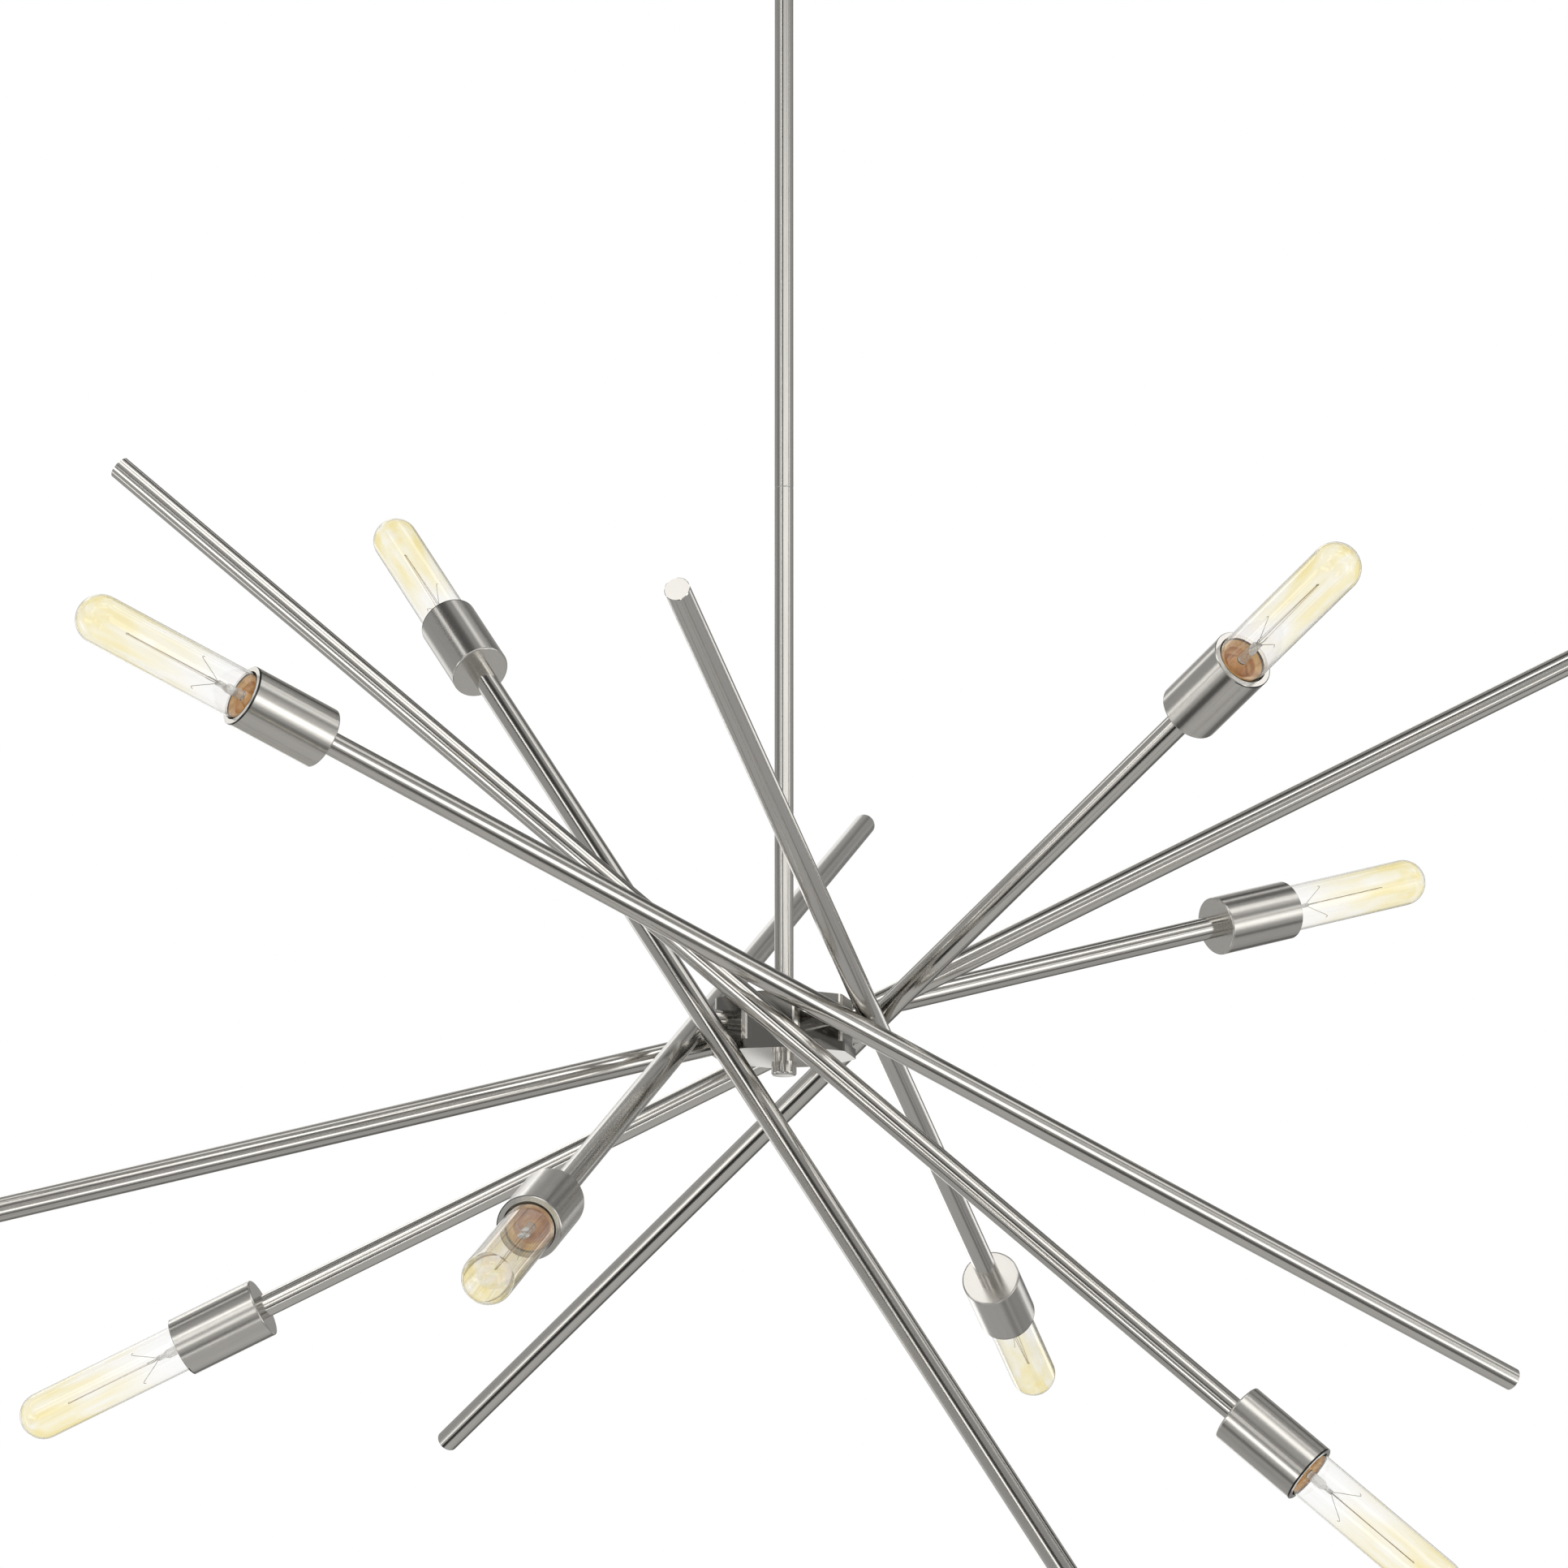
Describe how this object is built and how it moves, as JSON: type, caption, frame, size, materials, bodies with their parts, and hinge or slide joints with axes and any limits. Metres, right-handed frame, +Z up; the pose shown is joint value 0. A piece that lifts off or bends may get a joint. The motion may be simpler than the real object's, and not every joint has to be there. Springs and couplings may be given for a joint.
{
  "type": "sputnik chandelier",
  "caption": "Hanging ceiling light with straight tube arms that cross an octagonal hub at different angles, each with a lamp cup and clear tubular bulb at one end.",
  "frame": {"origin": "stem axis at the ceiling plane, at the centre of the two ceiling box screw holes", "axes": "+Z up along the stem, +X towards the hub wall that carries arm 1"},
  "size_m": [1.0903, 1.1418, 1.1704],
  "materials": {
    "brushed_nickel": "brushed satin nickel plate",
    "cup_nickel": "fine turned satin nickel",
    "polished_nickel": "bright satin nickel",
    "zinc_plated_steel": "zinc plated",
    "socket_insulator": "moulded insulating body, brass screw shell and contact in the same node",
    "bulb_cap_metal": "stamped screw cap",
    "bulb_glass": "clear glass with a pale amber tint"
  },
  "bodies": {
    "fixture": {"ceiling_strap": "zinc_plated_steel", "strap_fasteners": "zinc_plated_steel", "canopy": "brushed_nickel", "canopy_collar": "brushed_nickel", "stem_threads": "zinc_plated_steel", "stem_tube_upper": "brushed_nickel", "stem_tube_lower": "brushed_nickel", "hub_shell": "brushed_nickel", "hub_thread": "zinc_plated_steel", "hub_nuts": "zinc_plated_steel", "hub_pan": "polished_nickel", "finial": "polished_nickel"},
    "arm_1": {"arm_1_tube": "brushed_nickel", "arm_1_fittings": "brushed_nickel", "arm_1_cup": "cup_nickel", "arm_1_socket": "socket_insulator", "arm_1_bulb_cap": "bulb_cap_metal", "arm_1_bulb_glass": "bulb_glass"},
    "arm_2": {"arm_2_tube": "brushed_nickel", "arm_2_fittings": "brushed_nickel", "arm_2_cup": "cup_nickel", "arm_2_socket": "socket_insulator", "arm_2_bulb_cap": "bulb_cap_metal", "arm_2_bulb_glass": "bulb_glass"},
    "arm_3": {"arm_3_tube": "brushed_nickel", "arm_3_fittings": "brushed_nickel", "arm_3_cup": "cup_nickel", "arm_3_socket": "socket_insulator", "arm_3_bulb_cap": "bulb_cap_metal", "arm_3_bulb_glass": "bulb_glass"},
    "arm_4": {"arm_4_tube": "brushed_nickel", "arm_4_fittings": "brushed_nickel", "arm_4_cup": "cup_nickel", "arm_4_socket": "socket_insulator", "arm_4_bulb_cap": "bulb_cap_metal", "arm_4_bulb_glass": "bulb_glass"},
    "arm_5": {"arm_5_tube": "brushed_nickel", "arm_5_fittings": "brushed_nickel", "arm_5_cup": "cup_nickel", "arm_5_socket": "socket_insulator", "arm_5_bulb_cap": "bulb_cap_metal", "arm_5_bulb_glass": "bulb_glass"},
    "arm_6": {"arm_6_tube": "brushed_nickel", "arm_6_fittings": "brushed_nickel", "arm_6_cup": "cup_nickel", "arm_6_socket": "socket_insulator", "arm_6_bulb_cap": "bulb_cap_metal", "arm_6_bulb_glass": "bulb_glass"},
    "arm_7": {"arm_7_tube": "brushed_nickel", "arm_7_fittings": "brushed_nickel", "arm_7_cup": "cup_nickel", "arm_7_socket": "socket_insulator", "arm_7_bulb_cap": "bulb_cap_metal", "arm_7_bulb_glass": "bulb_glass"},
    "arm_8": {"arm_8_tube": "brushed_nickel", "arm_8_fittings": "brushed_nickel", "arm_8_cup": "cup_nickel", "arm_8_socket": "socket_insulator", "arm_8_bulb_cap": "bulb_cap_metal", "arm_8_bulb_glass": "bulb_glass"}
  },
  "joints": [
    {"name": "arm_1_pivot", "type": "hinge", "parent": "fixture", "child": "arm_1", "pos_m": [0.06144, 0, -0.7553], "axis": [1, 0, 0], "range_deg": [-57.8, 0]},
    {"name": "arm_2_pivot", "type": "hinge", "parent": "fixture", "child": "arm_2", "pos_m": [0.04344, 0.04344, -0.7553], "axis": [0.7071, 0.7071, 0], "range_deg": [-52.8, 0]},
    {"name": "arm_3_pivot", "type": "hinge", "parent": "fixture", "child": "arm_3", "pos_m": [0, 0.06144, -0.7553], "axis": [0, 1, 0], "range_deg": [-50.6, 1]},
    {"name": "arm_4_pivot", "type": "hinge", "parent": "fixture", "child": "arm_4", "pos_m": [-0.04344, 0.04344, -0.7553], "axis": [-0.7071, 0.7071, 0], "range_deg": [-59.2, 0]},
    {"name": "arm_5_pivot", "type": "hinge", "parent": "fixture", "child": "arm_5", "pos_m": [-0.06144, 0, -0.7553], "axis": [-1, 0, 0], "range_deg": [-51.6, 0]},
    {"name": "arm_6_pivot", "type": "hinge", "parent": "fixture", "child": "arm_6", "pos_m": [-0.04344, -0.04344, -0.7553], "axis": [-0.7071, -0.7071, 0], "range_deg": [-31.4, 20]},
    {"name": "arm_7_pivot", "type": "hinge", "parent": "fixture", "child": "arm_7", "pos_m": [0, -0.06144, -0.7553], "axis": [0, -1, 0], "range_deg": [-34, 18]},
    {"name": "arm_8_pivot", "type": "hinge", "parent": "fixture", "child": "arm_8", "pos_m": [0.04344, -0.04344, -0.7553], "axis": [0.7071, -0.7071, 0], "range_deg": [-54.5, 0]}
  ]
}
